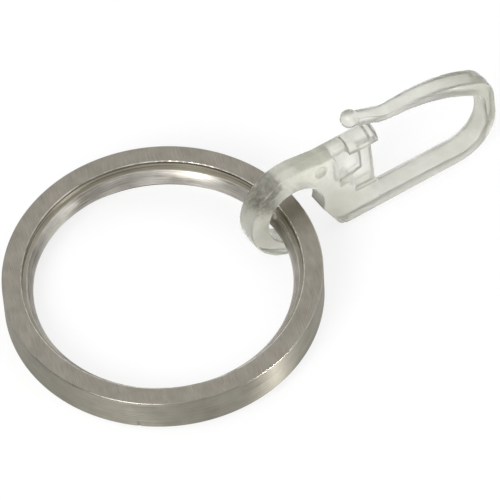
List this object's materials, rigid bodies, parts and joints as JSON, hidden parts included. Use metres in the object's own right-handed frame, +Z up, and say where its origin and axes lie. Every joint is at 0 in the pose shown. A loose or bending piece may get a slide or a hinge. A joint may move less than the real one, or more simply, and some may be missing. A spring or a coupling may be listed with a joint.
{
  "type": "curtain ring with clip-in hook",
  "caption": "Flat-sided satin metal curtain ring for a round pole, with a clear plastic hook looped round it to carry the curtain tape.",
  "frame": {"origin": "centre of the base of the bounding box, on the table that the far rim of the ring and the jaw of the hook touch", "axes": "+X from the ring towards the open bow of the hook, +Z up, and the hook stands on its edge in a plane along X and Z"},
  "size_m": [0.0692, 0.04, 0.0184],
  "materials": {
    "satin_nickel": "satin, brushed, with a bright turned bore",
    "clear_plastic": "clear to slightly milky, glossy"
  },
  "bodies": {
    "ring": {"ring": "satin_nickel"},
    "hook": {"hook": "clear_plastic"}
  },
  "joints": [
    {"name": "hook_swing", "type": "hinge", "parent": "ring", "child": "hook", "pos_m": [0.00452, 0.00038, 0.00633], "axis": [-0.0082, -0.9945, 0.1042], "continuous": true}
  ]
}
